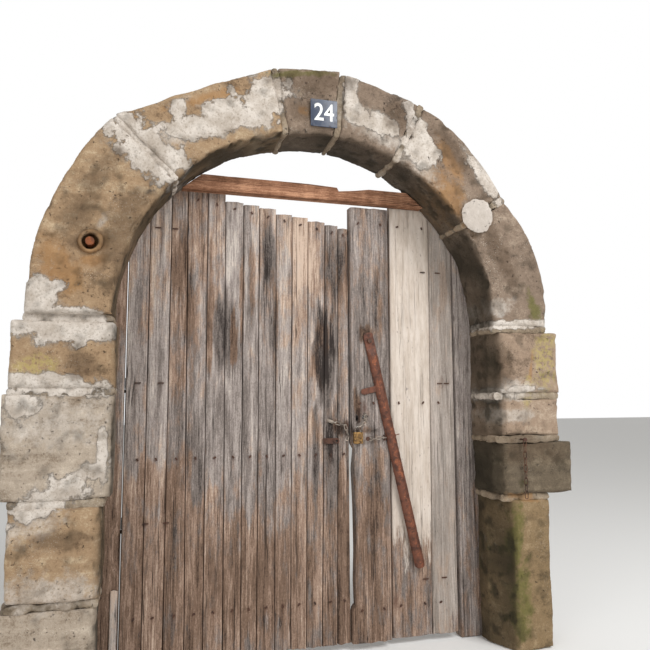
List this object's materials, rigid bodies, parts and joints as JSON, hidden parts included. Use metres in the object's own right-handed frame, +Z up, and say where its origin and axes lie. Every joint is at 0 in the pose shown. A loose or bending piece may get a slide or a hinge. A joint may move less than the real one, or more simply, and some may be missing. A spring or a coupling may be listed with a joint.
{
  "type": "arched double plank door in a stone surround",
  "caption": "Weathered two-leaf plank door in a round arch of dressed stones, with a wedged rail, swinging iron bar, chains and padlock.",
  "frame": {"origin": "middle of the foot of the stone surround, on the floor", "axes": "+X to the right seen from outside, +Y into the wall, +Z up"},
  "size_m": [2.12, 0.301, 2.2434],
  "materials": {
    "ochre_stone": "rough, hollowed and stained",
    "grey_stone": "rough, speckled, with lime smears",
    "pink_stone": "rough, with yellow lichen",
    "dark_stone": "rough, dark",
    "mossy_stone": "rough, with green moss",
    "pale_stone": "rough, banded",
    "mortar": "crumbly lime mortar",
    "enamel": "dark blue enamel, chipped, with white figures",
    "old_brass": "tarnished",
    "shackle_steel": "dull, spotted with rust",
    "post_wood": "rotted and dark",
    "rail_wood": "split, orange brown",
    "painted_wood": "chalky remains of cream paint",
    "weathered_wood": "grey brown, deeply grained",
    "rusty_iron": "rusted"
  },
  "bodies": {
    "surround": {"iron_stub": "rusty_iron", "keystone": "grey_stone", "left_foot_stone": "pale_stone", "left_haunch_stone": "ochre_stone", "left_pale_stone": "pale_stone", "left_post": "post_wood", "left_springer": "ochre_stone", "left_top_stone": "ochre_stone", "left_yellow_stone": "ochre_stone", "mortar_joints": "mortar", "mortar_patch": "mortar", "number_plate": "enamel", "pintles": "rusty_iron", "rail": "rail_wood", "right_crown_stone": "grey_stone", "right_dark_stone": "dark_stone", "right_foot_stone": "mossy_stone", "right_haunch_stone": "grey_stone", "right_low_stone": "pink_stone", "right_post": "post_wood", "right_springer": "grey_stone", "right_top_stone": "pink_stone", "stop_lath": "rail_wood", "wall_nail": "rusty_iron"},
    "left_leaf": {"hasp": "rusty_iron", "left_board_1": "weathered_wood", "left_board_10": "weathered_wood", "left_board_11": "weathered_wood", "left_board_12": "weathered_wood", "left_board_13": "weathered_wood", "left_board_2": "weathered_wood", "left_board_3": "weathered_wood", "left_board_4": "weathered_wood", "left_board_5": "weathered_wood", "left_board_6": "weathered_wood", "left_board_7": "weathered_wood", "left_board_8": "weathered_wood", "left_board_9": "weathered_wood", "left_chain": "rusty_iron", "left_foot_ledge": "weathered_wood", "left_head_ledge": "weathered_wood", "left_middle_ledge": "weathered_wood", "left_nails": "rusty_iron", "left_straps": "rusty_iron"},
    "right_leaf": {"bar_bolt": "rusty_iron", "chain_fixings": "rusty_iron", "lower_chain": "rusty_iron", "padlock_body": "old_brass", "right_chain": "rusty_iron", "right_foot_ledge": "weathered_wood", "right_hanging_board": "weathered_wood", "right_head_ledge": "weathered_wood", "right_meeting_board": "weathered_wood", "right_middle_ledge": "weathered_wood", "right_nails": "rusty_iron", "right_painted_board": "painted_wood", "right_straps": "rusty_iron"},
    "locking_bar": {"locking_bar": "rusty_iron"},
    "padlock_shackle": {"padlock_shackle": "shackle_steel"},
    "wall_chain": {"wall_chain": "rusty_iron"}
  },
  "joints": [
    {"name": "left_leaf_swing", "type": "hinge", "parent": "surround", "child": "left_leaf", "pos_m": [-0.67175, 0.12975, 1.03], "axis": [0, 0, 1], "range_deg": [0, 100]},
    {"name": "right_leaf_swing", "type": "hinge", "parent": "surround", "child": "right_leaf", "pos_m": [0.64175, 0.12975, 1.03], "axis": [0, 0, -1], "range_deg": [0, 100]},
    {"name": "bar_swing", "type": "hinge", "parent": "right_leaf", "child": "locking_bar", "pos_m": [0.264, 0.0729, 1.202], "axis": [0, -1, 0], "range_deg": [0, 14.5]},
    {"name": "shackle_slide", "type": "slide", "parent": "right_leaf", "child": "padlock_shackle", "axis": [0, 0, 1], "range_m": [0, 0.007]},
    {"name": "wall_chain_swing", "type": "hinge", "parent": "surround", "child": "wall_chain", "pos_m": [0.832, -0.1385, 0.805], "axis": [0, 1, 0], "range_deg": [-15, 15]}
  ]
}
